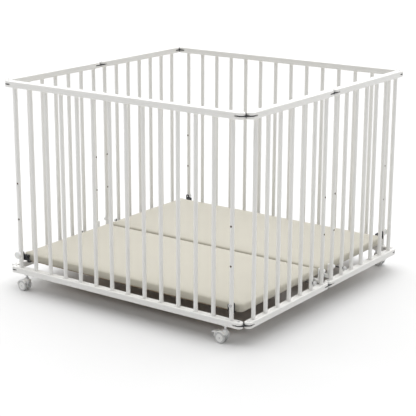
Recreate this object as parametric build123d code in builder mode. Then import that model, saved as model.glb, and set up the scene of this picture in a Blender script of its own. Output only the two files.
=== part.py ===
from build123d import *
import os

# Folding wooden playpen on casters, with a padded floor in two halves.
# Millimetres. +Z is up, the wheels stand on z = 0, and the origin is under the middle.
# The front panel lies along X at -Y, the back panel at +Y. Each side is two half panels.

os.makedirs("parts", exist_ok=True)

# driving dimensions
side_plane = 500.0        # X of the side rails' centre lines
front_plane = 497.0       # Y of the front and back rails' centre lines
rail_width = 28.0
rail_height = 21.0
bottom_rail_z = 60.0      # underside of the bottom rails
top_rail_z = 724.0        # underside of the top rails
rail_round = 3.0

corner_offset = 22.0      # from a panel's corner to each of its two rivets
mid_rivet_y = 15.5        # the two rivets of a middle link stand this far from y = 0
rivet_radius = 3.0
rivet_head_radius = 4.6
rivet_head_height = 1.3
plate_thickness = 3.5
plate_radius = 13.0
kerf_height = 4.4
spacer_radius = 1.2       # pin in the gap between two rail ends
spacer_inset = 1.5
kerf_reach = 15.5         # how far a kerf runs past its rivet
running_gap = 0.05

bar_radius = 7.0
socket_depth = 7.5
front_bar_pitch = 69.2
front_bar_count = 14
side_bar_pitch = 69.5
side_bar_count = 7
side_bar_start = 32.0     # first bar of a half panel, measured from y = 0

hole_radius = 3.5
height_holes = [130.0, 258.5, 387.0]
lock_z = 106.0
lock_radius = 2.5

pad_inset = 24.0
pad_bottom = 98.0
pad_top = 129.0
board_half_width = 445.0
board_thickness = 10.0
fold_gap = 1.5            # half of the gap between the two floor halves
hinge_y = front_plane - 18.0
hinge_z = 121.0

caster_x = 427.0
caster_trail = 12.0
wheel_radius = 18.0
wheel_width = 10.3
wheel_inner = 6.2
stem_radius = 4.0
stem_top = 77.0

# derived dimensions
front_rivet_x = side_plane - corner_offset
side_rivet_y = front_plane - corner_offset
half_rail_middle = (side_rivet_y + mid_rivet_y) / 2
half_rail_rivet = (side_rivet_y - mid_rivet_y) / 2
bar_bottom = bottom_rail_z + rail_height - socket_depth
bar_length = top_rail_z + socket_depth - bar_bottom
front_bar_x = [(i - (front_bar_count - 1) / 2) * front_bar_pitch for i in range(front_bar_count)]
side_bar_y = [side_bar_start + i * side_bar_pitch for i in range(side_bar_count)]
end_bar_x = front_bar_x[-1]


def save(builder, name):
    builder.part.label = name
    export_step(builder.part, f"parts/{name}.step")


# A rail is a round-ended bar with a kerf and a rivet hole at each end, and a blind socket for
# each bar. Its local X runs along it. Bottom rails have their sockets on top.
def make_rail(name, centre, along, rivet_x, bars, is_top, stems=()):
    base = Plane(origin=centre, x_dir=along, z_dir=(0, 0, 1))
    with BuildPart() as rail:
        with BuildSketch(base):
            SlotCenterToCenter(2 * rivet_x, rail_width)
        extrude(amount=rail_height)
        fillet(rail.faces().sort_by(Axis.Z)[-1].edges(), radius=rail_round)
        fillet(rail.faces().sort_by(Axis.Z)[0].edges(), radius=rail_round)
        kerf_length = kerf_reach + rail_width
        kerf_x = rivet_x - kerf_reach + kerf_length / 2
        with BuildSketch(base.offset((rail_height - kerf_height) / 2)):
            with Locations((kerf_x, 0), (-kerf_x, 0)):
                Rectangle(kerf_length, 2 * rail_width)
        extrude(amount=kerf_height, mode=Mode.SUBTRACT)
        with BuildSketch(base):
            with Locations((rivet_x, 0), (-rivet_x, 0)):
                Circle(rivet_radius + running_gap)
        extrude(amount=rail_height, mode=Mode.SUBTRACT)
        socket_z = 0 if is_top else rail_height - socket_depth
        with BuildSketch(base.offset(socket_z)):
            with Locations([(x, 0) for x in bars]):
                Circle(bar_radius + 0.02)
        extrude(amount=socket_depth, mode=Mode.SUBTRACT)
        if stems:
            with BuildSketch(base):
                with Locations([(x, 0) for x in stems]):
                    Circle(stem_radius + running_gap)
            extrude(amount=stem_top - bottom_rail_z + 0.3, mode=Mode.SUBTRACT)
    save(rail, name)


# Front and back panels: two rails, twelve plain bars, and two end bars with the height holes.
def make_panel(side, sy):
    y = sy * front_plane
    make_rail(f"{side}_top_rail", (0, y, top_rail_z), (1, 0, 0), front_rivet_x, front_bar_x, True)
    make_rail(
        f"{side}_bottom_rail", (0, y, bottom_rail_z), (1, 0, 0), front_rivet_x, front_bar_x,
        False, stems=(caster_x, -caster_x),
    )
    with BuildPart() as bars:
        with BuildSketch(Plane.XY.offset(bar_bottom)):
            with Locations([(x, y) for x in front_bar_x[1:-1]]):
                Circle(bar_radius)
        extrude(amount=bar_length)
    save(bars, f"{side}_bars")
    with BuildPart() as end_bars:
        with BuildSketch(Plane.XY.offset(bar_bottom)):
            with Locations((end_bar_x, y), (-end_bar_x, y)):
                Circle(bar_radius)
        extrude(amount=bar_length)
        with BuildSketch(Plane.XZ.offset(-y)):
            with Locations([(x, z) for x in (end_bar_x, -end_bar_x) for z in height_holes]):
                Circle(hole_radius)
        extrude(amount=2 * bar_radius, both=True, mode=Mode.SUBTRACT)
    save(end_bars, f"{side}_end_bars")


# A half panel: two short rails and seven bars. The bar next to the middle joint has the height
# holes, and the next one has the hole of the lock pin.
def make_half(name, sx, sy):
    x = sx * side_plane
    y = sy * half_rail_middle
    local = [sy * b - y for b in side_bar_y]
    make_rail(f"{name}_top_rail", (x, y, top_rail_z), (0, 1, 0), half_rail_rivet, local, True)
    make_rail(f"{name}_bottom_rail", (x, y, bottom_rail_z), (0, 1, 0), half_rail_rivet, local, False)
    with BuildPart() as bars:
        with BuildSketch(Plane.XY.offset(bar_bottom)):
            with Locations([(x, sy * b) for b in side_bar_y]):
                Circle(bar_radius)
        extrude(amount=bar_length)
        with BuildSketch(Plane.YZ.offset(x)):
            with Locations([(sy * side_bar_y[0], z) for z in height_holes]):
                Circle(hole_radius)
            with Locations((sy * side_bar_y[1], lock_z)):
                Circle(lock_radius + running_gap)
        extrude(amount=2 * bar_radius, both=True, mode=Mode.SUBTRACT)
    save(bars, f"{name}_bars")


# A double link joins two rail ends with a steel plate in their kerfs and a rivet through each
# end, once at the bottom rails and once at the top rails. A spacer pin through the middle of
# each plate fills the gap between the round ends.
def make_link(name, first, second):
    middle = ((first[0] + second[0]) / 2, (first[1] + second[1]) / 2)
    run = (second[0] - first[0], second[1] - first[1])
    length = (run[0] ** 2 + run[1] ** 2) ** 0.5
    with BuildPart() as link:
        for rail_z in (bottom_rail_z, top_rail_z):
            plate_z = rail_z + (rail_height - plate_thickness) / 2
            flat = Plane(origin=(*middle, plate_z), x_dir=(*run, 0), z_dir=(0, 0, 1))
            with BuildSketch(flat):
                SlotCenterToCenter(length, 2 * plate_radius)
                with Locations((length / 2, 0), (-length / 2, 0)):
                    Circle(rivet_radius + 0.01, mode=Mode.SUBTRACT)
            extrude(amount=plate_thickness)
            with BuildSketch(Plane.XY.offset(rail_z + spacer_inset)):
                with Locations(middle):
                    Circle(spacer_radius)
            extrude(amount=rail_height - 2 * spacer_inset)
        for rail_z in (bottom_rail_z, top_rail_z):
            with BuildSketch(Plane.XY.offset(rail_z - running_gap)):
                with Locations(first, second):
                    Circle(rivet_radius)
            extrude(amount=rail_height + 2 * running_gap)
            low = rail_z - running_gap - rivet_head_height
            high = rail_z + rail_height + running_gap
            for head_z in (low, high):
                with BuildSketch(Plane.XY.offset(head_z)):
                    with Locations(first, second):
                        Circle(rivet_head_radius)
                extrude(amount=rivet_head_height)
    save(link, name)


# One floor half: a padded board that is hinged at its panel. The pad wraps round the board's
# edges and leaves its underside open.
def make_floor(side, sy):
    outer = sy * (front_plane - pad_inset)
    inner = sy * fold_gap
    middle = (outer + inner) / 2
    depth = abs(outer - inner)
    board_outer = outer - sy * 8
    board_inner = inner + sy * 8
    board_depth = abs(board_outer - board_inner)
    board_middle = (board_outer + board_inner) / 2
    with BuildPart() as board:
        with BuildSketch(Plane.XY.offset(pad_bottom)):
            with Locations((0, board_middle)):
                RectangleRounded(2 * board_half_width, board_depth, 12)
        extrude(amount=board_thickness)
    save(board, f"floor_{side}_board")
    with BuildPart() as pad:
        with BuildSketch(Plane.XY.offset(pad_bottom)):
            with Locations((0, middle)):
                Rectangle(2 * (side_plane - pad_inset), depth)
        extrude(amount=pad_top - pad_bottom)
        outer_corners = pad.edges().filter_by(Axis.Z).group_by(Axis.Y)[0 if sy < 0 else -1]
        fillet(outer_corners, radius=18)
        fillet(pad.faces().sort_by(Axis.Z)[-1].edges(), radius=9)
        with BuildSketch(Plane.XY.offset(pad_bottom)):
            with Locations((0, board_middle)):
                RectangleRounded(2 * board_half_width + 0.4, board_depth + 0.4, 12.2)
        extrude(amount=board_thickness + 0.2, mode=Mode.SUBTRACT)
    save(pad, f"floor_{side}_pad")


# The fixed half of a floor hinge: a plate behind each end bar, with two ears and a pin.
ear_inner = (430.0, 432.5)
ear_outer = (443.0, 445.5)
plate_y = front_plane - bar_radius


def make_floor_brackets(side, sy):
    with BuildPart() as brackets:
        for sx in (1, -1):
            with BuildSketch(Plane.XZ.offset(-sy * plate_y)):
                with BuildLine():
                    Polyline(
                        (sx * 430, 107), (sx * 457, 107), (sx * 457, 134), (sx * 454, 137),
                        (sx * 446, 137), (sx * 441, 127), (sx * 430, 127), close=True,
                    )
                make_face()
                with Locations((sx * end_bar_x, height_holes[0])):
                    Circle(rivet_radius + 0.05, mode=Mode.SUBTRACT)
            extrude(amount=sy * 2.5)
        for sx in (1, -1):
            for low, high in (ear_inner, ear_outer):
                with BuildSketch(Plane.YZ.offset(sx * low)):
                    with Locations((sy * hinge_y, hinge_z)):
                        Circle(5)
                    with Locations((sy * (hinge_y + plate_y - 2) / 2, hinge_z)):
                        Rectangle(abs(plate_y - 2 - hinge_y), 10)
                extrude(amount=sx * (high - low))
            with BuildSketch(Plane.YZ.offset(sx * ear_inner[0])):
                with Locations((sy * hinge_y, hinge_z)):
                    Circle(2.45)
            extrude(amount=sx * (ear_outer[1] - ear_inner[0]))
    save(brackets, f"floor_{side}_brackets")


# The moving half: a strap with a rolled eye, screwed under the board.
def make_floor_straps(side, sy):
    with BuildPart() as straps:
        for sx in (1, -1):
            with BuildSketch(Plane.YZ.offset(sx * (ear_inner[1] + 0.5))):
                with Locations((sy * hinge_y, hinge_z)):
                    Circle(4.6)
                with Locations((sy * (hinge_y - 3.35), (hinge_z + pad_bottom - 2.5) / 2)):
                    Rectangle(2.5, hinge_z - pad_bottom + 2.5)
                with Locations((sy * (hinge_y - 41.1), pad_bottom - 1.3)):
                    Rectangle(78, 2.4)
                with Locations((sy * hinge_y, hinge_z)):
                    Circle(2.5, mode=Mode.SUBTRACT)
            extrude(amount=sx * (ear_outer[0] - ear_inner[1] - 1))
    save(straps, f"floor_{side}_straps")


# A knob outside one end bar and a domed bolt outside the other hold the brackets.
def make_floor_fixings(side, sy):
    knob_x = sy * end_bar_x
    face = front_plane + bar_radius
    inside = plate_y - 2.5
    with BuildPart() as bolts:
        with BuildSketch(Plane.XZ.offset(-sy * inside)):
            with Locations((knob_x, height_holes[0]), (-knob_x, height_holes[0])):
                Circle(rivet_radius)
        extrude(amount=-sy * (face + 9 - inside))
        with BuildSketch(Plane.XZ.offset(-sy * face)):
            with Locations((-knob_x, height_holes[0])):
                Circle(6.5)
        extrude(amount=-sy * 5)
        rim = bolts.edges().filter_by(GeomType.CIRCLE).sort_by(Axis.Y)
        rim = rim if sy < 0 else rim[::-1]
        big = [e for e in rim if e.radius > 6]
        chamfer(big[0], length=2)
    save(bolts, f"floor_{side}_bolts")
    with BuildPart() as knob:
        with BuildSketch(Plane.XZ.offset(-sy * (face + 0.3))):
            with Locations((knob_x, height_holes[0])):
                Circle(8)
        extrude(amount=-sy * 4)
        with BuildSketch(Plane.XZ.offset(-sy * (face + 4.3))):
            with Locations((knob_x, height_holes[0])):
                Circle(13)
        extrude(amount=-sy * 13)
        wide = [e for e in knob.edges().filter_by(GeomType.CIRCLE) if e.radius > 12]
        fillet(wide, radius=4)
        with BuildSketch(Plane.XZ.offset(-sy * (face + 0.3))):
            with Locations((knob_x, height_holes[0])):
                Circle(rivet_radius + running_gap)
        extrude(amount=-sy * 9.2, mode=Mode.SUBTRACT)
    save(knob, f"floor_{side}_knob")


# The rest under the free edge of a floor half: a ledge inside the half panel, held by a spigot
# through the lowest height hole and a cap outside the bar.
def make_rest(name, sx, sy):
    y = sy * side_bar_y[0]
    inner_face = side_plane - bar_radius
    outer_face = side_plane + bar_radius
    with BuildPart() as rest:
        with BuildSketch(Plane.XZ.offset(-y)):
            with BuildLine():
                Polyline(
                    (sx * inner_face, 136), (sx * 488, 136), (sx * 488, 97.6), (sx * 440, 97.6),
                    (sx * 440, 94.4), (sx * 482, 86), (sx * inner_face, 86), close=True,
                )
            make_face()
        extrude(amount=5.5, both=True)
        with BuildSketch(Plane.YZ.offset(sx * (inner_face - 2))):
            with Locations((y, height_holes[0])):
                Circle(hole_radius - 0.02)
        extrude(amount=sx * (outer_face - inner_face + 2))
        with BuildSketch(Plane.YZ.offset(sx * outer_face)):
            with Locations((y, height_holes[0])):
                Circle(7)
        extrude(amount=sx * 5)
        cap = [e for e in rest.edges().filter_by(GeomType.CIRCLE) if e.radius > 6]
        cap = sorted(cap, key=lambda e: sx * e.center().X)
        fillet(cap[-1], radius=3)
    save(rest, f"{name}_floor_rest")


# A sliding pin through the second bar locks the half panel at the floor's edge.
def make_lock(name, sx, sy):
    y = sy * side_bar_y[1]
    outer_face = side_plane + bar_radius
    with BuildPart() as lock:
        with BuildSketch(Plane.YZ.offset(sx * 478)):
            with Locations((y, lock_z)):
                Circle(lock_radius)
        extrude(amount=sx * (outer_face + 3 - 478))
        with BuildSketch(Plane.YZ.offset(sx * (outer_face + 0.2))):
            with Locations((y, lock_z)):
                Circle(5)
        extrude(amount=sx * 2.8)
        with BuildSketch(Plane.YZ.offset(sx * (outer_face + 3))):
            with Locations((y, lock_z)):
                Circle(6.5)
        extrude(amount=sx * 9.5)
        ends = [e for e in lock.edges().filter_by(GeomType.CIRCLE) if e.radius > 6]
        ends = sorted(ends, key=lambda e: sx * e.center().X)
        fillet(ends[-1], radius=2.5)
    save(lock, f"{name}_lock_pin")


# A twin-wheel caster. Its local X points the way the wheels trail behind the stem.
def make_caster(name, x, y, trail, brake):
    stand = Plane(origin=(x, y, 0), x_dir=(trail, 0, 0), z_dir=(0, 0, 1))
    side = Plane(origin=(x, y, 0), x_dir=(trail, 0, 0), z_dir=(0, -trail, 0))
    axle = (caster_trail, wheel_radius)
    half_width = wheel_inner + wheel_width
    with BuildPart() as pins:
        with BuildSketch(stand.offset(34)):
            Circle(stem_radius)
        extrude(amount=stem_top - 34)
        with BuildSketch(stand.offset(44)):
            Circle(7)
        extrude(amount=3)
        with BuildSketch(stand.offset(56.5)):
            Circle(9)
        extrude(amount=3)
        with BuildSketch(side):
            with Locations(axle):
                Circle(2.5)
        extrude(amount=half_width - 0.5, both=True)
    save(pins, f"{name}_pins")
    with BuildPart() as hood:
        with BuildSketch(side):
            with BuildLine():
                Polyline((-7.5, 30), (-7.5, 38), (8, 40), (20, 38), (20, 14), (6, 11), close=True)
            make_face()
        extrude(amount=5.5, both=True)
        with BuildSketch(side):
            with Locations(axle):
                Circle(22)
                Circle(19.2, mode=Mode.SUBTRACT)
            with Locations((caster_trail, wheel_radius - 19)):
                Rectangle(50, 44, mode=Mode.SUBTRACT)
            with Locations((caster_trail - 22, wheel_radius)):
                Rectangle(14, 26, mode=Mode.SUBTRACT)
        extrude(amount=half_width, both=True)
        with BuildSketch(stand.offset(36)):
            Circle(8)
        extrude(amount=8)
        with BuildSketch(side):
            with Locations(axle):
                Circle(2.5)
        extrude(amount=half_width, both=True, mode=Mode.SUBTRACT)
        with BuildSketch(stand.offset(34)):
            Circle(stem_radius)
        extrude(amount=12, mode=Mode.SUBTRACT)
        if brake:
            with BuildSketch(side):
                with Locations((caster_trail + 20.9, wheel_radius + 14.6)):
                    Circle(3.4)
                with Locations((caster_trail + 18.5, wheel_radius + 13.2)):
                    Rectangle(6, 6)
            extrude(amount=11.5, both=True)
            with BuildSketch(side):
                with Locations((caster_trail + 20.9, wheel_radius + 14.6)):
                    Circle(5)
            extrude(amount=8.3, both=True, mode=Mode.SUBTRACT)
            with BuildSketch(side):
                with Locations((caster_trail + 20.9, wheel_radius + 14.6)):
                    Circle(1.4)
            extrude(amount=11.5, both=True)
    save(hood, f"{name}_hood")
    with BuildPart() as wheels:
        for turn in (1, -1):
            face = side.offset(turn * wheel_inner)
            with BuildSketch(face):
                with Locations(axle):
                    Circle(wheel_radius)
            extrude(amount=turn * wheel_width)
        rims = [e for e in wheels.edges().filter_by(GeomType.CIRCLE) if e.radius > 17]
        fillet(rims, radius=2)
        for turn in (1, -1):
            with BuildSketch(side.offset(turn * half_width)):
                with Locations(axle):
                    Circle(12.5)
                    Circle(5, mode=Mode.SUBTRACT)
            extrude(amount=-turn * 1.2, mode=Mode.SUBTRACT)
        with BuildSketch(side):
            with Locations(axle):
                Circle(2.55)
        extrude(amount=half_width - 0.3, both=True, mode=Mode.SUBTRACT)
    save(wheels, f"{name}_wheels")
    if brake:
        with BuildPart() as lever:
            with BuildSketch(side):
                with Locations((caster_trail + 20.9, wheel_radius + 14.6)):
                    Circle(3)
                with BuildLine():
                    Polyline(
                        (caster_trail + 21.5, wheel_radius + 17.6),
                        (caster_trail + 35, wheel_radius + 13),
                        (caster_trail + 35, wheel_radius + 10),
                        (caster_trail + 21.5, wheel_radius + 13.6), close=True,
                    )
                make_face()
                with Locations((caster_trail + 20.9, wheel_radius + 14.6)):
                    Circle(1.45, mode=Mode.SUBTRACT)
            extrude(amount=8, both=True)
        save(lever, f"{name}_brake")


corners = {
    "front_right": (1, -1), "front_left": (-1, -1), "back_right": (1, 1), "back_left": (-1, 1),
}
make_panel("front", -1)
make_panel("back", 1)
for corner, (sx, sy) in corners.items():
    half = f"{'right' if sx > 0 else 'left'}_{'front' if sy < 0 else 'back'}"
    make_half(half, sx, sy)
    make_rest(half, sx, sy)
    make_lock(half, sx, sy)
    make_link(
        f"corner_link_{corner}",
        (sx * front_rivet_x, sy * front_plane), (sx * side_plane, sy * side_rivet_y),
    )
    make_caster(
        f"caster_{corner}", sx * caster_x, sy * front_plane, sy,
        corner in ("front_right", "back_left"),
    )
for side, sx in (("right", 1), ("left", -1)):
    make_link(f"middle_link_{side}", (sx * side_plane, -mid_rivet_y), (sx * side_plane, mid_rivet_y))
for side, sy in (("front", -1), ("back", 1)):
    make_floor(side, sy)
    make_floor_brackets(side, sy)
    make_floor_straps(side, sy)
    make_floor_fixings(side, sy)
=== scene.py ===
import bmesh
import bpy
import math
from mathutils import Euler, Matrix, Vector, noise


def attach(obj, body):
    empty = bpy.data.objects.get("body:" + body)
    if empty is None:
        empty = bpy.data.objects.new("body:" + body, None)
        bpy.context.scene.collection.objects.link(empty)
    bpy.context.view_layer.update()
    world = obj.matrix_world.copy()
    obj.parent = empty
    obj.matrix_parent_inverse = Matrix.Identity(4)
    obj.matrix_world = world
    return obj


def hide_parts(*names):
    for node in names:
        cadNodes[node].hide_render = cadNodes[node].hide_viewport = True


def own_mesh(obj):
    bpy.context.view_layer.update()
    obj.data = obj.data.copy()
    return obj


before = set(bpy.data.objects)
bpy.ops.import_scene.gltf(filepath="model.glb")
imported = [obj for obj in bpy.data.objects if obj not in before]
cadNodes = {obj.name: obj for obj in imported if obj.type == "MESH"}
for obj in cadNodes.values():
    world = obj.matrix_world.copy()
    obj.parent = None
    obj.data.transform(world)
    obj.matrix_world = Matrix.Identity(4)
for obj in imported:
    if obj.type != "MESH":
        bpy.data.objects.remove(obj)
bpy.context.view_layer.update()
scene = bpy.context.scene
mm = 0.001

corners = {"front_right": (1, -1), "front_left": (-1, -1), "back_right": (1, 1), "back_left": (-1, 1)}
halves = {"right_front": (1, -1), "left_front": (-1, -1), "right_back": (1, 1), "left_back": (-1, 1)}
sides = {"front": -1, "back": 1}


def addObject(name, mesh):
    piece = bpy.data.objects.new(name, mesh)
    scene.collection.objects.link(piece)
    return piece


def fromBmesh(name, bm, materials, sharpAngle=38.0, recalc=True):
    if recalc:
        bmesh.ops.remove_doubles(bm, verts=bm.verts, dist=1e-6)
        bmesh.ops.recalc_face_normals(bm, faces=bm.faces)
    mesh = bpy.data.meshes.new(name)
    bm.to_mesh(mesh)
    bm.free()
    for material in materials:
        mesh.materials.append(material)
    smoothByAngle(mesh, sharpAngle)
    return addObject(name, mesh)


def smoothByAngle(mesh, angle):
    mesh.polygons.foreach_set("use_smooth", [True] * len(mesh.polygons))
    mesh.set_sharp_from_angle(angle=math.radians(angle))
    mesh.update()


def applyModifiers(piece, sharpAngle=None):
    graph = bpy.context.evaluated_depsgraph_get()
    mesh = bpy.data.meshes.new_from_object(piece.evaluated_get(graph), depsgraph=graph)
    piece.modifiers.clear()
    piece.data = mesh
    mesh.name = piece.name
    if sharpAngle is not None:
        smoothByAngle(mesh, sharpAngle)
    return piece


# a turned shape: the profile is (radius, height) pairs, and place carries local Z to where it stands
def addLathe(bm, profile, place, segments=40, materialOf=None):
    rings = []
    for radius, height in profile:
        if radius < 1e-7:
            rings.append([bm.verts.new(place @ Vector((0, 0, height)))])
        else:
            rings.append([
                bm.verts.new(place @ Vector((
                    radius * math.cos(2 * math.pi * i / segments),
                    radius * math.sin(2 * math.pi * i / segments), height)))
                for i in range(segments)
            ])
    for step, (low, high) in enumerate(zip(rings, rings[1:])):
        for i in range(segments):
            j = (i + 1) % segments
            corner = [low[i % len(low)], low[j % len(low)], high[j % len(high)], high[i % len(high)]]
            face = bm.faces.new(list(dict.fromkeys(corner)))
            if materialOf:
                face.material_index = materialOf(step)


# a flat outline pushed from low to high along local Z
def addPrism(bm, outline, low, high, place):
    bottom = [bm.verts.new(place @ Vector((x, y, low))) for x, y in outline]
    top = [bm.verts.new(place @ Vector((x, y, high))) for x, y in outline]
    bm.faces.new(bottom[::-1])
    bm.faces.new(top)
    count = len(outline)
    for i in range(count):
        j = (i + 1) % count
        bm.faces.new((bottom[i], bottom[j], top[j], top[i]))


def roundArc(centre, radius, startAngle, endAngle, steps):
    angles = [math.radians(startAngle + (endAngle - startAngle) * i / steps) for i in range(steps + 1)]
    return [(centre[0] + radius * math.cos(a), centre[1] + radius * math.sin(a)) for a in angles]


def bevel(piece, width, segments=2, angle=32.0, sharpAngle=50.0):
    modifier = piece.modifiers.new("softEdge", "BEVEL")
    modifier.width = width
    modifier.segments = segments
    modifier.limit_method = "ANGLE"
    modifier.angle_limit = math.radians(angle)
    modifier.harden_normals = False
    return applyModifiers(piece, sharpAngle)


# a CAD node's own shape with its hard edges softened, as lacquer, moulding or tumbling leaves them
def softenedCopy(node, name, width, materials, segments=2):
    bm = bmesh.new()
    bm.from_mesh(cadNodes[node].data)
    bmesh.ops.remove_doubles(bm, verts=bm.verts, dist=2e-6)
    bmesh.ops.dissolve_limit(bm, angle_limit=math.radians(0.6), verts=bm.verts, edges=bm.edges)
    for face in bm.faces:
        face.material_index = 0
    piece = fromBmesh(name, bm, materials, recalc=False)
    bevel(piece, width, segments)
    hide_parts(node)
    return piece


class Look:
    # a node material under construction: shader is its Principled BSDF

    def __init__(self, name, colour, roughness, metallic=0.0):
        self.material = bpy.data.materials.new(name)
        self.material.use_nodes = True
        self.tree = self.material.node_tree
        self.nodes, self.links = self.tree.nodes, self.tree.links
        self.shader = self.nodes["Principled BSDF"]
        self.shader.inputs["Base Color"].default_value = (*colour, 1)
        self.shader.inputs["Roughness"].default_value = roughness
        self.shader.inputs["Metallic"].default_value = metallic
        self.coordinates = self.nodes.new("ShaderNodeTexCoord")

    def mapped(self, scale, turn=(0, 0, 0)):
        node = self.nodes.new("ShaderNodeMapping")
        node.inputs["Scale"].default_value = scale
        node.inputs["Rotation"].default_value = turn
        self.links.new(self.coordinates.outputs["Object"], node.inputs["Vector"])
        return node.outputs["Vector"]

    def noise(self, vector, scale, detail=4.0, roughness=0.5, distortion=0.0):
        node = self.nodes.new("ShaderNodeTexNoise")
        node.inputs["Scale"].default_value = scale
        node.inputs["Detail"].default_value = detail
        node.inputs["Roughness"].default_value = roughness
        node.inputs["Distortion"].default_value = distortion
        self.links.new(vector, node.inputs["Vector"])
        return node.outputs["Fac"]

    def cells(self, vector, scale, feature="F1"):
        node = self.nodes.new("ShaderNodeTexVoronoi")
        node.feature = feature
        node.inputs["Scale"].default_value = scale
        self.links.new(vector, node.inputs["Vector"])
        return node.outputs["Distance"]

    def ramp(self, value, stops):
        node = self.nodes.new("ShaderNodeValToRGB")
        while len(node.color_ramp.elements) < len(stops):
            node.color_ramp.elements.new(0.5)
        for element, (position, colour) in zip(node.color_ramp.elements, stops):
            element.position = position
            element.color = (*colour, 1)
        self.links.new(value, node.inputs["Fac"])
        return node.outputs["Color"]

    def spread(self, value, low, high, fromLow=0.3, fromHigh=0.7):
        node = self.nodes.new("ShaderNodeMapRange")
        node.inputs["From Min"].default_value = fromLow
        node.inputs["From Max"].default_value = fromHigh
        node.inputs["To Min"].default_value = low
        node.inputs["To Max"].default_value = high
        self.links.new(value, node.inputs["Value"])
        return node.outputs["Result"]

    def blend(self, factor, first, second):
        node = self.nodes.new("ShaderNodeMix")
        node.data_type = "RGBA"
        for index, value in ((0, factor), (6, first), (7, second)):  # the colour sockets are 6 and 7
            socket = node.inputs[index]
            if isinstance(value, (int, float)):
                socket.default_value = value
            elif isinstance(value, tuple):
                socket.default_value = (*value, 1)
            else:
                self.links.new(value, socket)
        return node.outputs[2]

    def sum(self, first, second, weight):
        node = self.nodes.new("ShaderNodeMath")
        node.operation = "MULTIPLY_ADD"
        node.inputs[1].default_value = weight
        self.links.new(second, node.inputs[0])
        self.links.new(first, node.inputs[2])
        return node.outputs[0]

    def colour(self, output):
        self.links.new(output, self.shader.inputs["Base Color"])

    def roughness(self, output):
        self.links.new(output, self.shader.inputs["Roughness"])

    def bump(self, height, strength, distance):
        node = self.nodes.new("ShaderNodeBump")
        node.inputs["Strength"].default_value = strength
        node.inputs["Distance"].default_value = distance
        self.links.new(height, node.inputs["Height"])
        self.links.new(node.outputs["Normal"], self.shader.inputs["Normal"])


lacquerLook = {
    "light": (0.855, 0.850, 0.830),
    "dark": (0.815, 0.808, 0.786),
    "cloudy": (0.86, 0.845, 0.805),
    "roughness": (0.30, 0.44),
    "grainDepth": 0.00022,
    "coat": 0.18,
    "coatRoughness": 0.22,
    "specular": 0.42,
}


# opaque white lacquer on beech: faint grain along the wood, orange peel and an uneven tone
def makeLacquer(name, along):
    look = Look(name, lacquerLook["light"], 0.36)
    fine, coarse = [380.0] * 3, [60.0] * 3
    fine[along], coarse[along] = 9.0, 2.2
    grain = look.noise(look.mapped(fine), 1.0, 6.0, 0.62, 0.4)
    streak = look.noise(look.mapped(coarse), 1.0, 3.0, 0.55, 0.8)
    peel = look.noise(look.mapped((1, 1, 1)), 620.0, 2.0, 0.5)
    cloud = look.noise(look.mapped((1, 1, 1)), 7.0, 3.0, 0.5)
    shade = look.ramp(look.sum(grain, streak, 0.6), [
        (0.42, lacquerLook["dark"]), (0.86, lacquerLook["light"])])
    look.colour(look.blend(look.spread(cloud, 0.0, 0.35), shade, lacquerLook["cloudy"]))
    look.roughness(look.spread(look.sum(cloud, grain, 0.35), *lacquerLook["roughness"]))
    look.bump(look.sum(look.sum(grain, peel, 0.55), streak, 0.5), 0.35, lacquerLook["grainDepth"])
    look.shader.inputs["Coat Weight"].default_value = lacquerLook["coat"]
    look.shader.inputs["Coat Roughness"].default_value = lacquerLook["coatRoughness"]
    look.shader.inputs["Specular IOR Level"].default_value = lacquerLook["specular"]
    return look.material


lacquerX = makeLacquer("lacquerAlongX", 0)
lacquerY = makeLacquer("lacquerAlongY", 1)
lacquerZ = makeLacquer("lacquerUpright", 2)

vinylLook = {
    "light": (0.505, 0.480, 0.405),
    "dark": (0.472, 0.447, 0.374),
    "valley": (0.38, 0.355, 0.30),
    "roughness": (0.46, 0.60),
    "grainSize": 640.0,
    "grainDepth": 0.00030,
    "sheen": 0.10,
    "specular": 0.38,
}


# greige coated cloth: pebbled grain, soft sheen, slightly uneven tone
def makeVinyl():
    look = Look("greigeVinyl", vinylLook["light"], 0.52)
    plain = look.mapped((1, 1, 1))
    pebble = look.cells(plain, vinylLook["grainSize"], "SMOOTH_F1")
    creases = look.cells(plain, vinylLook["grainSize"] * 0.45, "F1")
    tone = look.noise(plain, 5.5, 4.0, 0.55, 0.3)
    fleck = look.noise(plain, 420.0, 3.0, 0.6)
    shade = look.ramp(look.sum(tone, fleck, 0.25), [
        (0.42, vinylLook["dark"]), (0.80, vinylLook["light"])])
    look.colour(look.blend(look.spread(pebble, 0.0, 0.12, 0.25, 0.8), shade, vinylLook["valley"]))
    look.roughness(look.spread(tone, *vinylLook["roughness"]))
    look.bump(look.sum(look.sum(pebble, creases, 0.4), fleck, 0.3), 0.30, vinylLook["grainDepth"])
    look.shader.inputs["Sheen Weight"].default_value = vinylLook["sheen"]
    look.shader.inputs["Sheen Roughness"].default_value = 0.5
    look.shader.inputs["Specular IOR Level"].default_value = vinylLook["specular"]
    return look.material


def makeSteel(name, light, dark, roughness, metallic, scratches=0.3):
    look = Look(name, light, sum(roughness) / 2, metallic)
    brushed = look.noise(look.mapped((900, 60, 900), (0.3, 0.2, 0.5)), 1.0, 4.0, 0.6)
    blotch = look.noise(look.mapped((1, 1, 1)), 55.0, 4.0, 0.6)
    pits = look.noise(look.mapped((1, 1, 1)), 1400.0, 2.0, 0.5)
    look.colour(look.ramp(look.sum(blotch, brushed, 0.4), [(0.45, dark), (0.85, light)]))
    look.roughness(look.spread(look.sum(brushed, blotch, 0.5), *roughness, 0.45, 1.0))
    look.bump(look.sum(brushed, pits, 0.6), scratches, 0.00010)
    return look.material


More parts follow.
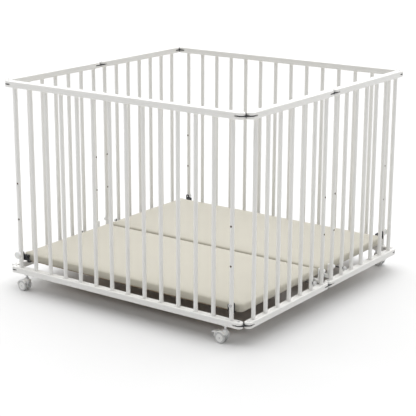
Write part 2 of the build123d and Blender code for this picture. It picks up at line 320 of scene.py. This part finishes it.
def makePlastic(name, light, dark, roughness, soft=0.0):
    look = Look(name, light, sum(roughness) / 2)
    plain = look.mapped((1, 1, 1))
    spark = look.noise(plain, 1900.0, 2.0, 0.5)
    swirl = look.noise(plain, 38.0, 3.0, 0.5, 0.6)
    look.colour(look.ramp(swirl, [(0.35, dark), (0.7, light)]))
    look.roughness(look.spread(look.sum(swirl, spark, 0.3), *roughness, 0.4, 0.9))
    look.bump(spark, 0.16, 0.00008)
    look.shader.inputs["Subsurface Weight"].default_value = soft
    look.shader.inputs["Subsurface Radius"].default_value = (0.004, 0.003, 0.002)
    look.shader.inputs["Subsurface Scale"].default_value = 0.4
    return look.material


# the board's wood grain and knots, with each tone darkened far below bare wood: painted shade for the deep
# shadow under the floor
def makeShadeDarkenedPlywood():
    look = Look("barePlywood", (0.56, 0.40, 0.23), 0.62)
    figure = look.noise(look.mapped((3.0, 60.0, 60.0)), 1.0, 5.0, 0.6, 1.2)
    pores = look.noise(look.mapped((30.0, 900.0, 900.0)), 1.0, 3.0, 0.6)
    knots = look.cells(look.mapped((3.2, 9.0, 9.0)), 1.0)
    shade = look.ramp(look.sum(figure, pores, 0.35), [
        (0.40, (0.17, 0.11, 0.062)), (0.62, (0.26, 0.175, 0.10)), (0.85, (0.33, 0.235, 0.14))])
    look.colour(look.blend(look.spread(knots, 0.5, 0.0, 0.03, 0.10), shade, (0.22, 0.12, 0.06)))
    look.roughness(look.spread(pores, 0.55, 0.74))
    look.bump(look.sum(pores, figure, 0.8), 0.4, 0.0003)
    return look.material


# bare beech inside the bores, darkened well below the wood's own tone: partly the raw wood, partly painted
# shade down the holes
def makeBoreWallWithShade():
    look = Look("drilledBeech", (0.30, 0.20, 0.12), 0.8)
    rings = look.noise(look.mapped((500, 500, 40)), 1.0, 4.0, 0.65)
    look.colour(look.ramp(rings, [(0.35, (0.09, 0.055, 0.03)), (0.75, (0.24, 0.155, 0.09))]))
    look.roughness(look.spread(rings, 0.7, 0.9))
    look.bump(rings, 0.5, 0.0003)
    return look.material


vinyl = makeVinyl()
darkSteel = makeSteel(
    "blackenedSteel", (0.070, 0.070, 0.074), (0.030, 0.030, 0.033), (0.34, 0.52), 0.75)
rivetSteel = makeSteel("rivetSteel", (0.60, 0.60, 0.60), (0.42, 0.42, 0.43), (0.24, 0.38), 0.9, 0.2)
zincSteel = makeSteel("zincSteel", (0.66, 0.66, 0.66), (0.50, 0.50, 0.51), (0.22, 0.36), 0.9, 0.25)
whitePlastic = makePlastic(
    "whiteNylon", (0.90, 0.90, 0.885), (0.85, 0.85, 0.835), (0.26, 0.40), 0.08)
greyPlastic = makePlastic("greyNylon", (0.66, 0.665, 0.66), (0.60, 0.605, 0.60), (0.34, 0.48))
plywoodPaintedShade = makeShadeDarkenedPlywood()
boreWallPaintedShade = makeBoreWallWithShade()
print("materials ready")


# a Geometry Nodes tree; each one is run and its result kept as a plain mesh
def newTree(name, inputs):
    tree = bpy.data.node_groups.new(name, "GeometryNodeTree")
    tree.interface.new_socket("Geometry", in_out="INPUT", socket_type="NodeSocketGeometry")
    for title, kind in inputs:
        tree.interface.new_socket(title, in_out="INPUT", socket_type="NodeSocket" + kind)
    tree.interface.new_socket("Geometry", in_out="OUTPUT", socket_type="NodeSocketGeometry")
    return tree, tree.nodes.new("NodeGroupInput"), tree.nodes.new("NodeGroupOutput")


def addNode(tree, kind, settings=None, **sockets):
    node = tree.nodes.new(kind)
    for key, value in (settings or {}).items():
        setattr(node, key, value)
    for title, value in sockets.items():
        socket = node.inputs[title.replace("_", " ")]
        if isinstance(value, bpy.types.NodeSocket):
            tree.links.new(value, socket)
        else:
            socket.default_value = value
    return node


def joined(tree, *outputs):
    node = tree.nodes.new("GeometryNodeJoinGeometry")
    for output in reversed(outputs):
        tree.links.new(output, node.inputs[0])
    return node.outputs[0]


def runTree(name, tree, values, startMesh=None, sharpAngle=38.0):
    holder = addObject(name + "Base", startMesh or bpy.data.meshes.new(name + "Base"))
    modifier = holder.modifiers.new("shape", "NODES")
    modifier.node_group = tree
    for item in tree.interface.items_tree:
        if item.in_out == "INPUT" and item.name in values:
            modifier[item.identifier] = values[item.name]
    bpy.context.view_layer.update()
    graph = bpy.context.evaluated_depsgraph_get()
    mesh = bpy.data.meshes.new_from_object(holder.evaluated_get(graph), depsgraph=graph)
    holder.modifiers.remove(modifier)
    bpy.data.objects.remove(holder)
    mesh.name = name
    smoothByAngle(mesh, sharpAngle)
    return addObject(name, mesh)


# one real copy of the part at each point
def addCopies(tree, points, part, **more):
    placed = addNode(tree, "GeometryNodeInstanceOnPoints", Points=points, Instance=part, **more)
    return addNode(tree, "GeometryNodeRealizeInstances", Geometry=placed.outputs[0]).outputs[0]


# a row of turned bars with a bead of lacquer where each one enters its rails
def makeBarTree():
    tree, given, out = newTree("barRow", [
        ("Count", "Int"), ("First", "Vector"), ("Step", "Vector"), ("Radius", "Float"),
        ("Bottom", "Float"), ("Length", "Float"), ("Bead", "Float"), ("Lower Rail", "Float"),
        ("Upper Rail", "Float"), ("Material", "Material")])
    g = given.outputs

    def number(operation, first, second):
        node = addNode(tree, "ShaderNodeMath", {"operation": operation})
        for socket, value in zip(node.inputs, (first, second)):
            if isinstance(value, bpy.types.NodeSocket):
                tree.links.new(value, socket)
            else:
                socket.default_value = value
        return node.outputs[0]

    def lifted(geometry, height):
        place = addNode(tree, "ShaderNodeCombineXYZ", Z=height)
        moved = addNode(
            tree, "GeometryNodeTransform", Geometry=geometry, Translation=place.outputs[0])
        return moved.outputs[0]

    line = addNode(tree, "GeometryNodeMeshLine", {"mode": "OFFSET"},
                   Count=g["Count"], Start_Location=g["First"], Offset=g["Step"])
    shaft = addNode(
        tree, "GeometryNodeMeshCylinder", Vertices=40, Radius=g["Radius"], Depth=g["Length"])
    middle = number("ADD", g["Bottom"], number("MULTIPLY", g["Length"], 0.5))
    wide = number("ADD", g["Radius"], g["Bead"])
    lowBead = addNode(tree, "GeometryNodeMeshCone", Vertices=40, Radius_Top=g["Radius"],
                      Radius_Bottom=wide, Depth=g["Bead"])
    highBead = addNode(tree, "GeometryNodeMeshCone", Vertices=40, Radius_Top=wide,
                       Radius_Bottom=g["Radius"], Depth=g["Bead"])
    bar = joined(
        tree, lifted(shaft.outputs["Mesh"], middle), lifted(lowBead.outputs["Mesh"], g["Lower Rail"]),
        lifted(highBead.outputs["Mesh"], number("SUBTRACT", g["Upper Rail"], g["Bead"])))
    real = addCopies(tree, line.outputs["Mesh"], bar)
    dressed = addNode(
        tree, "GeometryNodeSetMaterial", Geometry=real, Material=g["Material"])
    tree.links.new(dressed.outputs[0], out.inputs[0])
    return tree


# bores through whatever comes in, one at each vertex of the object that marks them
def makeBoreTree():
    tree, given, out = newTree("bores", [
        ("Marks", "Object"), ("Radius", "Float"), ("Depth", "Float"), ("Turn", "Vector"),
        ("Bore Material", "Material")])
    g = given.outputs
    marks = addNode(tree, "GeometryNodeObjectInfo", Object=g["Marks"])
    bit = addNode(
        tree, "GeometryNodeMeshCylinder", Vertices=24, Radius=g["Radius"], Depth=g["Depth"])
    # the bore walls get the bare wood colour darkened as painted shade
    rawWoodAndShadeBit = addNode(tree, "GeometryNodeSetMaterial", Geometry=bit.outputs["Mesh"],
                  Material=g["Bore Material"])
    real = addCopies(tree, marks.outputs["Geometry"], rawWoodAndShadeBit.outputs[0], Rotation=g["Turn"])
    cut = addNode(tree, "GeometryNodeMeshBoolean", {"operation": "DIFFERENCE"})
    tree.links.new(g["Geometry"], cut.inputs["Mesh 1"])
    tree.links.new(real, cut.inputs["Mesh 2"])
    tree.links.new(cut.outputs[0], out.inputs[0])
    return tree


# the same small part at each vertex that comes in
def makeFastenerTree():
    tree, given, out = newTree("fasteners", [("Part", "Object"), ("Material", "Material")])
    g = given.outputs
    part = addNode(tree, "GeometryNodeObjectInfo", Object=g["Part"])
    real = addCopies(tree, g["Geometry"], part.outputs["Geometry"])
    dressed = addNode(
        tree, "GeometryNodeSetMaterial", Geometry=real, Material=g["Material"])
    tree.links.new(dressed.outputs[0], out.inputs[0])
    return tree


def pointMesh(name, points):
    mesh = bpy.data.meshes.new(name)
    mesh.from_pydata(points, [], [])
    return mesh


barTree = makeBarTree()
boreTree = makeBoreTree()
fastenerTree = makeFastenerTree()


def drill(name, bars, points, radius, turn):
    marks = addObject(name + "Marks", pointMesh(name + "Marks", points))
    mesh = bars.data
    bpy.data.objects.remove(bars)
    piece = runTree(name, boreTree, {
        "Marks": marks, "Radius": radius, "Depth": barShape["drillDepth"] * mm, "Turn": turn,
        "Bore Material": boreWallPaintedShade}, mesh)
    bpy.data.objects.remove(marks)
    return piece


def fasten(name, part, points, material):
    spots = pointMesh(name + "Spots", points)
    return runTree(name, fastenerTree, {"Part": part, "Material": material}, spots)


barShape = {
    "radius": 7.0, "bottom": 73.5, "length": 658.0, "bead": 0.9, "lowerRail": 81.4, "upperRail": 724.1,
    "frontPitch": 69.2, "frontPlane": 497.0, "sidePitch": 69.5, "sideStart": 32.0, "sidePlane": 500.0,
    "holeHeights": (130.0, 258.5, 387.0), "holeRadius": 3.5, "drillDepth": 30.0,
    "lockHeight": 106.0, "lockHoleRadius": 2.55,
}
endBarX = 6.5 * barShape["frontPitch"]
lockBarY = barShape["sideStart"] + barShape["sidePitch"]
quarterTurn = math.pi / 2


def barRow(name, count, first, step):
    return runTree(name, barTree, {
        "Count": count, "First": tuple(c * mm for c in first), "Step": tuple(c * mm for c in step),
        "Radius": barShape["radius"] * mm, "Bottom": barShape["bottom"] * mm,
        "Length": barShape["length"] * mm, "Bead": barShape["bead"] * mm,
        "Lower Rail": barShape["lowerRail"] * mm, "Upper Rail": barShape["upperRail"] * mm,
        "Material": lacquerZ})


for side, sy in sides.items():
    y = sy * barShape["frontPlane"]
    pitch = barShape["frontPitch"]
    row = barRow(side + "Bars", 12, (-5.5 * pitch, y, 0), (pitch, 0, 0))
    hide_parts(side + "_bars")
    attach(row, side + "_panel")
    ends = barRow(side + "EndBarsBlank", 2, (-endBarX, y, 0), (2 * endBarX, 0, 0))
    ends = drill(side + "EndBars", ends, [
        (x * mm, y * mm, z * mm) for x in (-endBarX, endBarX) for z in barShape["holeHeights"]],
        barShape["holeRadius"] * mm, (quarterTurn, 0, 0))
    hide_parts(side + "_end_bars")
    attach(ends, side + "_panel")

for half, (sx, sy) in halves.items():
    x = sx * barShape["sidePlane"]
    y = sy * barShape["sideStart"]
    row = barRow(half + "BarsBlank", 7, (x, y, 0), (0, sy * barShape["sidePitch"], 0))
    row = drill(half + "BarsHoled", row, [
        (x * mm, y * mm, z * mm) for z in barShape["holeHeights"]],
        barShape["holeRadius"] * mm, (0, quarterTurn, 0))
    row = drill(half + "Bars", row, [(x * mm, sy * lockBarY * mm, barShape["lockHeight"] * mm)],
                barShape["lockHoleRadius"] * mm, (0, quarterTurn, 0))
    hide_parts(half + "_bars")
    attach(row, half + "_half")
print("bars ready")


railEdge = 0.45 * mm
for side in sides:
    for level in ("top", "bottom"):
        rail = softenedCopy(
            f"{side}_{level}_rail", f"{side}{level.title()}Rail", railEdge, [lacquerX])
        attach(rail, side + "_panel")
for half in halves:
    for level in ("top", "bottom"):
        rail = softenedCopy(
            f"{half}_{level}_rail", f"{half}{level.title()}Rail", railEdge, [lacquerY])
        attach(rail, half + "_half")
print("rails ready")


# dark plates in the kerfs, held by domed rivets
# the spacer keys size a dark pin that is painted shade for the gap at each joint
linkShape = {
    "plateRadius": 13.0, "plateThick": 3.5, "plateEdge": 0.5, "railLow": (60.0, 724.0), "railHigh": 21.0,
    "shaft": 3.0, "headRadius": 4.6, "headHigh": 1.3, "headGap": 0.05,
    "spacer": 1.2, "spacerTip": 0.7, "spacerInset": 1.5,
    "cornerFront": (478.0, 497.0), "cornerSide": (500.0, 475.0), "middle": (500.0, 15.5),
}


def makeRivet():
    bm = bmesh.new()
    r, h, s, gap = (linkShape[k] for k in ("headRadius", "headHigh", "shaft", "headGap"))
    up = linkShape["railHigh"] + gap
    profile = [
        (0, -h - gap), (r * 0.45, -h * 0.96 - gap), (r * 0.78, -h * 0.72 - gap), (r, -h * 0.18 - gap),
        (r, -gap), (s, -gap), (s, up), (r, up), (r, up + h * 0.18), (r * 0.78, up + h * 0.72),
        (r * 0.5, up + h * 0.94), (r * 0.36, up + h), (r * 0.30, up + h * 0.55), (0, up + h * 0.50)]
    addLathe(bm, [(a * mm, b * mm) for a, b in profile], Matrix.Identity(4), 24)
    return fromBmesh("rivetPart", bm, [rivetSteel], 30)


def slotOutline(length, radius, steps=14):
    right = roundArc((length / 2, 0), radius, -90, 90, steps)
    return right + roundArc((-length / 2, 0), radius, 90, 270, steps)


def makeLink(node, body, first, second):
    bm = bmesh.new()
    middle = Vector(((first[0] + second[0]) / 2, (first[1] + second[1]) / 2, 0)) * mm
    run = Vector((second[0] - first[0], second[1] - first[1], 0))
    turn = Matrix.Translation(middle) @ Euler((0, 0, math.atan2(run.y, run.x))).to_matrix().to_4x4()
    outline = [(x * mm, y * mm) for x, y in slotOutline(run.length, linkShape["plateRadius"])]
    for low in linkShape["railLow"]:
        base = low + (linkShape["railHigh"] - linkShape["plateThick"]) / 2
        addPrism(bm, outline, base * mm, (base + linkShape["plateThick"]) * mm, turn)
        # a dark steel pin up the middle of each joint between the rail ends, standing in for the shade in
        # that gap: painted shade
        bottom = low + linkShape["spacerInset"]
        top = low + linkShape["railHigh"] - linkShape["spacerInset"]
        wide, tip = linkShape["spacer"], linkShape["spacerTip"]
        pin = [(0, bottom), (tip, bottom), (wide, bottom + 0.5), (wide, top - 0.5), (tip, top), (0, top)]
        addLathe(bm, [(r * mm, z * mm) for r, z in pin], turn, 16)
    plates = fromBmesh(node + "_plates", bm, [darkSteel])
    bevel(plates, linkShape["plateEdge"] * mm, angle=60)
    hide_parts(node)
    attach(plates, body)
    spots = [(x * mm, y * mm, low * mm) for low in linkShape["railLow"] for x, y in (first, second)]
    rivets = fasten(node + "_rivets", rivetPart, spots, rivetSteel)
    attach(rivets, body)


rivetPart = makeRivet()
for corner, (sx, sy) in corners.items():
    (x0, y0), (x1, y1) = linkShape["cornerFront"], linkShape["cornerSide"]
    makeLink("corner_link_" + corner, f"corner_link_{corner}_body",
             (sx * x0, sy * y0), (sx * x1, sy * y1))
for side, sx in (("right", 1), ("left", -1)):
    x, y = linkShape["middle"]
    makeLink("middle_link_" + side, f"middle_link_{side}_body", (sx * x, -y), (sx * x, y))
bpy.data.objects.remove(rivetPart)
print("links ready")


padShape = {
    "inset": 24.0, "low": 98.2, "high": 126.5, "gap": 2.6, "shrink": 2.0, "cornerRadius": 16.0,
    "seamRadius": 5.0, "topRadius": 11.0, "lowRadius": 4.0, "voxel": 6.5, "pressure": 4.0, "frames": 20,
    "cap": 3.2, "lowest": 98.0, "halfSeam": 0.8, "wave": 0.55, "crease": 0.35,
}
boardShape = {
    "halfX": 445.0, "inner": 9.5, "outer": 465.0, "cornerRadius": 12.0, "pocket": (90.0, 108.4), "clear": 0.3,
}


# rounded slab: rings of one outline, each inset a little more towards the top
def padBlank(name, sy):
    p = padShape
    outer = sy * (barShape["frontPlane"] - p["inset"] - p["shrink"])
    inner = sy * p["gap"]
    halfX = barShape["sidePlane"] - p["inset"] - p["shrink"]
    y0, y1 = sorted((outer, inner))

    def outline(inset):
        points = []
        for cx, cy, start in ((1, 1, 0), (-1, 1, 90), (-1, -1, 180), (1, -1, 270)):
            edgeY = y1 if cy > 0 else y0
            isOuter = abs(edgeY) > 100
            radius = max(p["cornerRadius" if isOuter else "seamRadius"] - inset, 1.0)
            centre = (cx * (halfX - inset - radius), edgeY - cy * (inset + radius))
            points += roundArc(centre, radius, start, start + 90, 8)
        return points

    bm = bmesh.new()
    rings = []
    for angle in (0, 30, 60, 90):
        a = math.radians(angle)
        rings.append((p["lowRadius"] * (1 - math.sin(a)), p["low"] + p["lowRadius"] * (1 - math.cos(a))))
    for angle in (0, 22, 45, 67, 90):
        a = math.radians(angle)
        rings.append((p["topRadius"] * (1 - math.cos(a)), p["high"] - p["topRadius"] * (1 - math.sin(a))))
    loops = [[bm.verts.new((x * mm, y * mm, z * mm)) for x, y in outline(inset)] for inset, z in rings]
    count = len(loops[0])
    for low, high in zip(loops, loops[1:]):
        for i in range(count):
            j = (i + 1) % count
            bm.faces.new((low[i], low[j], high[j], high[i]))
    bm.faces.new(loops[0][::-1])
    bm.faces.new(loops[-1])
    return fromBmesh(name, bm, [vinyl])


# cloth under air pressure fills the cover; the underside stays on its board
def inflate(piece):
    p = padShape
    rest = [v.co.copy() for v in piece.data.vertices]
    group = piece.vertex_groups.new(name="held")
    for v in piece.data.vertices:
        if v.co.z < (p["low"] + 1.5) * mm:
            group.add([v.index], 1.0, "REPLACE")
    cloth = piece.modifiers.new("fill", "CLOTH")
    settings = cloth.settings
    settings.use_pressure = True
    settings.uniform_pressure_force = p["pressure"]
    settings.quality = 5
    settings.mass = 0.3
    settings.tension_stiffness = 25
    settings.compression_stiffness = 25
    settings.shear_stiffness = 8
    settings.bending_stiffness = 2.0
    settings.vertex_group_mass = "held"
    settings.effector_weights.gravity = 0
    cloth.collision_settings.use_collision = False
    cloth.point_cache.frame_start = 1
    cloth.point_cache.frame_end = p["frames"]
    for step in range(1, p["frames"] + 1):
        scene.frame_set(step)
    graph = bpy.context.evaluated_depsgraph_get()
    mesh = bpy.data.meshes.new_from_object(piece.evaluated_get(graph), depsgraph=graph)
    piece.modifiers.clear()
    piece.vertex_groups.clear()
    scene.frame_set(1)
    limit = p["cap"] * mm
    for v, start in zip(mesh.vertices, rest):
        move = v.co - start
        if move.length > limit:
            v.co = start + move * (limit / move.length)
    piece.data = mesh


def remesh(piece, voxel):
    modifier = piece.modifiers.new("voxels", "REMESH")
    modifier.mode = "VOXEL"
    modifier.voxel_size = voxel
    modifier.use_smooth_shade = True
    return applyModifiers(piece)


# slow waves on top, and creases round the outer corners
def dressCover(piece, sy):
    p = padShape
    seed = Vector((3.7, 1.9 * sy, 0.4))
    cornerY = sy * (barShape["frontPlane"] - p["inset"] - p["cornerRadius"]) * mm
    cornerX = (barShape["sidePlane"] - p["inset"] - p["cornerRadius"]) * mm
    low, high = p["low"] * mm, p["high"] * mm
    for v in piece.data.vertices:
        up = min(max((v.co.z - low) / (high - low), 0.0), 1.0)
        if up > 0.75:
            wave = noise.noise(v.co * 5.5 + seed) + 0.5 * noise.noise(v.co * 13.0 + seed)
            v.co.z += p["wave"] * mm * wave * (up - 0.75) * 4
        dx, dy = abs(v.co.x) - cornerX, sy * (v.co.y - cornerY)
        if dx > 0 and dy > 0 and up > 0.02:
            angle = math.atan2(dy, dx)
            fold = math.sin(angle * 18.0 + sy) * math.sin(math.pi * min(up, 1.0) ** 0.7)
            centre = Vector((math.copysign(cornerX, v.co.x), cornerY, v.co.z))
            out = (v.co - centre).normalized()
            v.co += out * (p["crease"] * mm * fold * math.sin(2 * angle))


def cutWith(piece, cutter):
    modifier = piece.modifiers.new("pocket", "BOOLEAN")
    modifier.operation = "DIFFERENCE"
    modifier.object = cutter
    modifier.solver = "MANIFOLD"
    applyModifiers(piece)
    bpy.data.objects.remove(cutter)


def boardCutter(sy):
    b = boardShape
    bm = bmesh.new()
    halfX = b["halfX"] + b["clear"]
    y0, y1 = sorted((sy * (b["inner"] - b["clear"]), sy * (b["outer"] + b["clear"])))
    radius = b["cornerRadius"]
    outline = []
    for cx, cy, start in ((1, 1, 0), (-1, 1, 90), (-1, -1, 180), (1, -1, 270)):
        centre = (cx * (halfX - radius), (y1 - radius) if cy > 0 else (y0 + radius))
        outline += roundArc(centre, radius, start, start + 90, 6)
    low, high = b["pocket"]
    addPrism(bm, [(x * mm, y * mm) for x, y in outline], low * mm, high * mm, Matrix.Identity(4))
    return fromBmesh("boardPocket", bm, [vinyl])


for side, sy in sides.items():
    pad = padBlank(f"floor_{side}_cover", sy)
    remesh(pad, padShape["voxel"] * mm)
    inflate(pad)
    smooth = pad.modifiers.new("round", "SUBSURF")
    smooth.levels = smooth.render_levels = 1
    applyModifiers(pad)
    dressCover(pad, sy)
    for v in pad.data.vertices:
        v.co.z = max(v.co.z, padShape["lowest"] * mm)
        v.co.y = sy * max(sy * v.co.y, padShape["halfSeam"] * mm)
    cutWith(pad, boardCutter(sy))
    smoothByAngle(pad.data, 55)
    pad.data.materials.clear()
    pad.data.materials.append(vinyl)
    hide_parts(f"floor_{side}_pad")
    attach(pad, "floor_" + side)
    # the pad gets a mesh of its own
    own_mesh(pad)
print("floor pads ready")


hardware = {
    "screwRadius": 3.6, "screwHigh": 1.0, "screwX": 437.75, "screwY": (452.0, 430.0, 408.0), "screwZ": 95.5,
    "stapleWide": 10.0, "stapleWire": 0.5, "staplePitch": 46, "stapleRuns": ((469.0, 400), (5.2, 414)),
    "stapleZ": 98.1, "strapEdge": 0.4,
}


def makeScrew():
    bm = bmesh.new()
    r, h = hardware["screwRadius"] * mm, hardware["screwHigh"] * mm
    addLathe(bm, [
        (0, -h * 0.35), (r * 0.28, -h * 0.35), (r * 0.42, -h * 0.95), (r * 0.75, -h * 0.8),
        (r, -h * 0.2), (r, h * 0.3), (0, h * 0.3)], Matrix.Identity(4), 20)
    return fromBmesh("screwPart", bm, [zincSteel], 30)


def makeStaple():
    bm = bmesh.new()
    w, t = hardware["stapleWide"] * mm / 2, hardware["stapleWire"] * mm
    outline = [(-w, 0), (-w, t * 0.7), (-w + t * 0.5, t), (w - t * 0.5, t), (w, t * 0.7), (w, 0)]
    turn = Matrix(((1, 0, 0, 0), (0, 0, -1, 0), (0, -1, 0, 0), (0, 0, 0, 1)))
    addPrism(bm, outline, -t * 0.7, t * 0.7, turn)
    return fromBmesh("staplePart", bm, [zincSteel], 40)


screwPart = makeScrew()
staplePart = makeStaple()
for side, sy in sides.items():
    board = cadNodes[f"floor_{side}_board"]
    # the board's colour carries painted shade
    board.data.materials[0] = plywoodPaintedShade
    edge = hardware["strapEdge"] * mm
    strap = softenedCopy(f"floor_{side}_straps", f"floor_{side}_hinge_straps", edge, [darkSteel])
    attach(strap, "floor_" + side)
    bracket = softenedCopy(
        f"floor_{side}_brackets", f"floor_{side}_hinge_brackets", edge, [darkSteel])
    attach(bracket, side + "_panel")
    spots = [(sx * hardware["screwX"] * mm, sy * y * mm, hardware["screwZ"] * mm)
             for sx in (1, -1) for y in hardware["screwY"]]
    screws = fasten(f"floor_{side}_strap_screws", screwPart, spots, zincSteel)
    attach(screws, "floor_" + side)
    spots = [(x * mm, sy * y * mm, hardware["stapleZ"] * mm) for y, reach in hardware["stapleRuns"]
             for x in range(-reach, reach + 1, hardware["staplePitch"])]
    staples = fasten(f"floor_{side}_staples", staplePart, spots, zincSteel)
    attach(staples, "floor_" + side)
bpy.data.objects.remove(screwPart)
bpy.data.objects.remove(staplePart)


knobShape = {
    "z": 130.0, "face": 504.0, "bore": 3.1, "boreDeep": 9.4, "stud": 3.0, "studIn": -16.5, "studOut": 9.0,
}


# local Z points away from the panel
def outward(x, y, z, axis):
    turn = Vector(axis).to_track_quat("Z", "Y").to_matrix().to_4x4()
    return Matrix.Translation(Vector((x, y, z)) * mm) @ turn


for side, sy in sides.items():
    knobX = sy * endBarX
    place = outward(knobX, sy * knobShape["face"], knobShape["z"], (0, sy, 0))
    bm = bmesh.new()
    bore, deep = knobShape["bore"], knobShape["boreDeep"]
    profile = [
        (bore, 0.3), (7.6, 0.3), (8, 0.7), (8, 4.0), (9.2, 4.4), (11.6, 4.6), (12.6, 5.4), (13, 7.0),
        (13, 11.6), (12.7, 13.6), (11.7, 15.4), (10.0, 16.6), (8.2, 17.1), (7.6, 16.7), (7.0, 16.6),
        (4.0, 16.95), (0, 17.1)]
    addLathe(bm, [(a * mm, b * mm) for a, b in profile], place, 48)
    hole = [(bore, 0.3), (bore, deep), (0, deep)]
    addLathe(bm, [(a * mm, b * mm) for a, b in hole], place, 48)
    knob = fromBmesh(f"floor_{side}_hand_knob", bm, [whitePlastic], 30)
    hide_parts(f"floor_{side}_knob")
    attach(knob, "knob_" + side)
    bm = bmesh.new()
    r, inner, tip = knobShape["stud"], knobShape["studIn"], knobShape["studOut"]
    stud = [(0, inner), (r, inner), (r, tip), (0, tip)]
    addLathe(bm, [(a * mm, b * mm) for a, b in stud], place, 24)
    other = outward(-knobX, sy * knobShape["face"], knobShape["z"], (0, sy, 0))
    dome = [
        (0, inner), (r, inner), (r, 0), (6.5, 0), (6.5, 1.6), (6.2, 2.9), (5.4, 4.0), (4.4, 4.7),
        (3.2, 4.95), (2.6, 4.2), (2.5, 2.2), (0, 2.2)]
    addLathe(bm, [(a * mm, b * mm) for a, b in dome], other, 36)
    bolts = fromBmesh(f"floor_{side}_bolt_pair", bm, [zincSteel], 30)
    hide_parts(f"floor_{side}_bolts")
    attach(bolts, side + "_panel")
print("floor hardware ready")


lockShape = {"face": 507.0, "pin": 2.5, "pinIn": -29.0, "pinOut": 3.0, "restEdge": 0.9}
for half, (sx, sy) in halves.items():
    rest = softenedCopy(
        f"{half}_floor_rest", half + "_ledge", lockShape["restEdge"] * mm, [whitePlastic], 3)
    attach(rest, half + "_half")
    place = outward(sx * lockShape["face"], sy * lockBarY, barShape["lockHeight"], (sx, 0, 0))
    bm = bmesh.new()
    r, low, high = lockShape["pin"], lockShape["pinIn"], lockShape["pinOut"]
    steel = [
        (0, low), (r - 0.6, low), (r, low + 0.8), (r, 0.2), (4.6, 0.2), (5, 0.6), (5, high), (r, high)]
    head = [(5.9, high), (6.5, 3.6), (6.5, 9.6), (6.0, 11.4), (4.6, 12.3), (2.4, 12.5), (0, 12.5)]
    profile = [(a * mm, b * mm) for a, b in steel + head]
    addLathe(bm, profile, place, 32, lambda step: 0 if step < len(steel) - 1 else 1)
    pin = fromBmesh(half + "_slide_lock", bm, [darkSteel, greyPlastic], 35)
    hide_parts(half + "_lock_pin")
    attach(pin, half + "_lock")
print("rests and locks ready")


casterShape = {
    "x": 427.0, "y": 497.0, "trail": 12.0, "radius": 18.0, "inner": 6.2, "width": 10.3,
    "hoodEdge": 0.7, "stemEdge": 0.5, "leverEdge": 0.8,
}


def addWheel(bm, place):
    w, r = casterShape["width"], casterShape["radius"]
    # from the hub on the inner face, over the tread, to the cap on the outer face
    profile = [
        (2.6, 0.6), (5.0, 0.6), (5.4, 1.4), (13.2, 1.4), (14.0, 0.5), (15.6, 0.0), (17.0, 0.35),
        (17.8, 1.3), (r, 2.6), (r, 4.6), (17.55, 5.0), (17.55, 5.4), (r, 5.8), (r, w - 2.6),
        (17.75, w - 1.2), (16.9, w - 0.35), (15.7, w), (13.6, w), (13.0, w - 0.4), (12.6, w - 1.1),
        (12.0, w - 1.1), (11.4, w - 0.5), (6.4, w - 0.25), (5.7, w - 0.8), (5.1, w - 0.8),
        (4.7, w - 0.15), (3.0, w - 0.05), (2.6, w - 0.3), (2.6, 0.6)]
    tread = range(4, 18)
    addLathe(bm, [(a * mm, b * mm) for a, b in profile], place, 48, lambda step: int(step in tread))


for corner, (sx, sy) in corners.items():
    swivel = f"caster_{corner}_swivel"
    axleX = sx * casterShape["x"] + sy * casterShape["trail"]
    bm = bmesh.new()
    for turn in (1, -1):
        wheelY = sy * casterShape["y"] + turn * casterShape["inner"]
        addWheel(bm, outward(axleX, wheelY, casterShape["radius"], (0, turn, 0)))
    wheels = fromBmesh(f"caster_{corner}_tyres", bm, [whitePlastic, greyPlastic], 32)
    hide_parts(f"caster_{corner}_wheels")
    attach(wheels, f"caster_{corner}_wheel_pair")
    hood = softenedCopy(
        f"caster_{corner}_hood", f"caster_{corner}_fork", casterShape["hoodEdge"] * mm, [whitePlastic], 3)
    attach(hood, swivel)
    pins = softenedCopy(
        f"caster_{corner}_pins", f"caster_{corner}_stem", casterShape["stemEdge"] * mm, [zincSteel])
    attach(pins, swivel)
    if corner in ("front_right", "back_left"):
        lever = softenedCopy(
            f"caster_{corner}_brake", f"caster_{corner}_pedal", casterShape["leverEdge"] * mm,
            [whitePlastic], 3)
        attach(lever, f"caster_{corner}_lever")
print("casters ready")


studio = {
    "worldLight": 0.30, "skyLight": 3.75, "skyAngle": 112.0, "skyTilt": (-20.0, -16.0),
    "floorColour": (0.765, 0.765, 0.765), "azimuth": 36.3, "elevation": 15.4, "distance": 4.0867,
    "target": (0.2121, -0.3799, 0.380), "focal": 108.9, "shift": 0.0377,
}
bm = bmesh.new()
bmesh.ops.create_grid(bm, x_segments=8, y_segments=8, size=60.0)
ground = Look("paleFloor", studio["floorColour"], 0.75)
patch = ground.noise(ground.mapped((1, 1, 1)), 3.0, 2.0, 0.5)
ground.roughness(ground.spread(patch, 0.7, 0.8))
ground.shader.inputs["Specular IOR Level"].default_value = 0.15
studioFloor = fromBmesh("studioFloor", bm, [ground.material])

world = bpy.data.worlds.new("studioWorld")
scene.world = world
world.use_nodes = True
world.node_tree.nodes["Background"].inputs["Color"].default_value = (1, 1, 1, 1)
world.node_tree.nodes["Background"].inputs["Strength"].default_value = studio["worldLight"]

sky = bpy.data.lights.new("overheadLight", "SUN")
sky.energy = studio["skyLight"]
sky.angle = math.radians(studio["skyAngle"])
skyLamp = bpy.data.objects.new("overheadLight", sky)
skyLamp.rotation_euler = (*(math.radians(tilt) for tilt in studio["skyTilt"]), 0)
scene.collection.objects.link(skyLamp)

view = bpy.data.cameras.new("mainView")
view.sensor_width = 36.0
view.lens = studio["focal"]
view.shift_x = studio["shift"]
view.clip_end = 200.0
camera = bpy.data.objects.new("mainView", view)
a, e = math.radians(studio["azimuth"]), math.radians(studio["elevation"])
away = Vector((math.sin(a) * math.cos(e), -math.cos(a) * math.cos(e), math.sin(e)))
camera.location = Vector(studio["target"]) + away * studio["distance"]
camera.rotation_euler = (-away).to_track_quat("-Z", "Y").to_euler()
scene.collection.objects.link(camera)
scene.camera = camera
scene.view_settings.view_transform = "Standard"
print("studio ready")
